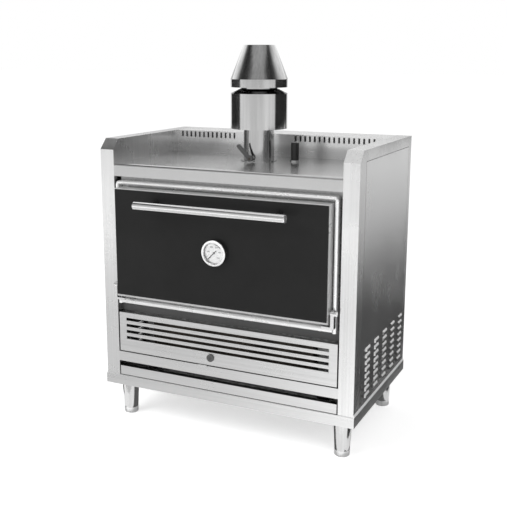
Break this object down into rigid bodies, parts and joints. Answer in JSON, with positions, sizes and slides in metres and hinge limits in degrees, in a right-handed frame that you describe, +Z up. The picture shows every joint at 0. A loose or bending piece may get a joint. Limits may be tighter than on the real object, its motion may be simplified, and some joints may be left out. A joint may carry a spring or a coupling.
{
  "type": "charcoal oven",
  "caption": "Free-standing closed charcoal oven with drop-down door, ash drawer, worktop between cheeks, and a flue with firebreak drum and hat.",
  "frame": {"origin": "on the floor under the middle of the part's box, feet on z = 0", "axes": "+X to the viewer's right, -Y out of the door's front, +Z up"},
  "size_m": [0.93, 0.6955, 1.308],
  "materials": {
    "brushed_sheet": "brushed stainless sheet",
    "worktop_sheet": "bright polished stainless tray",
    "side_sheet": "fine brushed stainless sheet, darker",
    "polished_steel": "polished stainless",
    "flue_steel": "bright rolled stainless",
    "black_enamel": "satin black heat-proof coating",
    "black_handle": "black heat-proof plastic",
    "firebox_plate": "dark heat-stained plate",
    "cast_grate": "rough cast iron",
    "grill_steel": "round stainless rod",
    "galvanised": "zinc-coated sheet",
    "dark_steel": "dark coated steel",
    "mineral_wool": "matted wool slab",
    "rope_seal": "woven glass tape",
    "dial_face": "silvery dial with dark marks",
    "needle_black": "black",
    "dial_glass": "clear flat glass"
  },
  "bodies": {
    "root": {"base_frame": "brushed_sheet", "legs": "polished_steel", "side_frame_left": "brushed_sheet", "side_frame_right": "brushed_sheet", "side_panel_left": "side_sheet", "side_panel_right": "side_sheet", "rear_panel": "side_sheet", "worktop": "worktop_sheet", "rear_vent_box": "brushed_sheet", "middle_rail": "brushed_sheet", "plinth_rail": "brushed_sheet", "recess_panel": "dark_steel", "casing_supports": "galvanised", "oven_casing": "galvanised", "casing_insulation": "mineral_wool", "firebox": "firebox_plate", "front_frame": "polished_steel", "sill": "polished_steel", "rack_rails": "firebox_plate", "upper_grill_rack": "grill_steel", "lower_grill_rack": "grill_steel", "charcoal_grate": "cast_grate", "smoke_collar": "firebox_plate", "flue_neck": "flue_steel", "firebreak_drum": "flue_steel", "spark_baffle": "firebox_plate", "flue_hat": "flue_steel", "hat_struts": "flue_steel", "knob_collar": "polished_steel", "hinge_brackets": "polished_steel", "hinge_pins": "polished_steel", "drawer_runners": "galvanised", "air_register": "galvanised", "rear_screws": "polished_steel"},
    "door": {"door_shell": "polished_steel", "door_front_plate": "black_enamel", "door_insulation": "mineral_wool", "door_liner": "side_sheet", "door_seal": "rope_seal", "door_pivot_blocks": "dark_steel", "handle_bar": "polished_steel", "handle_posts": "polished_steel", "thermometer_case": "polished_steel", "thermometer_bezel": "polished_steel", "thermometer_dial": "dial_face", "thermometer_glass": "dial_glass"},
    "needle": {"thermometer_needle": "needle_black"},
    "ash_drawer": {"drawer_front": "brushed_sheet", "ash_pan": "firebox_plate", "lock_housing": "polished_steel"},
    "drawer_lock": {"lock_core": "dark_steel"},
    "shutter": {"draft_shutter": "brushed_sheet"},
    "flue_valve": {"flue_damper": "firebox_plate", "damper_lever": "black_handle"},
    "throat_valve": {"throat_damper": "firebox_plate", "damper_knob": "black_handle"},
    "foot_fl": {"foot_front_left": "brushed_sheet"},
    "foot_fr": {"foot_front_right": "brushed_sheet"},
    "foot_rl": {"foot_rear_left": "brushed_sheet"},
    "foot_rr": {"foot_rear_right": "brushed_sheet"}
  },
  "joints": [
    {"name": "door_hinge", "type": "hinge", "parent": "root", "child": "door", "pos_m": [0, -0.25225, 0.499], "axis": [1, 0, 0], "range_deg": [0, 90]},
    {"name": "needle_turn", "type": "hinge", "parent": "door", "child": "needle", "pos_m": [0, -0.28425, 0.657], "axis": [0, 1, 0], "range_deg": [0, 270]},
    {"name": "drawer_slide", "type": "slide", "parent": "root", "child": "ash_drawer", "axis": [0, -1, 0], "range_m": [0, 0.36]},
    {"name": "lock_turn", "type": "hinge", "parent": "ash_drawer", "child": "drawer_lock", "pos_m": [-0.044, -0.23225, 0.281], "axis": [0, 1, 0], "range_deg": [0, 90]},
    {"name": "shutter_slide", "type": "slide", "parent": "root", "child": "shutter", "axis": [1, 0, 0], "range_m": [0, 0.022]},
    {"name": "flue_damper_turn", "type": "hinge", "parent": "root", "child": "flue_valve", "pos_m": [0, 0.05475, 0.9305], "axis": [0, 1, 0], "range_deg": [-45, 45]},
    {"name": "throat_damper_turn", "type": "hinge", "parent": "root", "child": "throat_valve", "pos_m": [0.126, 0.07575, 0.9165], "axis": [0, 0, 1], "range_deg": [0, 55]},
    {"name": "foot_screw_fl", "type": "slide", "parent": "root", "child": "foot_fl", "axis": [0, 0, -1], "range_m": [0, 0.025]},
    {"name": "foot_screw_fr", "type": "slide", "parent": "root", "child": "foot_fr", "axis": [0, 0, -1], "range_m": [0, 0.025]},
    {"name": "foot_screw_rl", "type": "slide", "parent": "root", "child": "foot_rl", "axis": [0, 0, -1], "range_m": [0, 0.025]},
    {"name": "foot_screw_rr", "type": "slide", "parent": "root", "child": "foot_rr", "axis": [0, 0, -1], "range_m": [0, 0.025]}
  ]
}
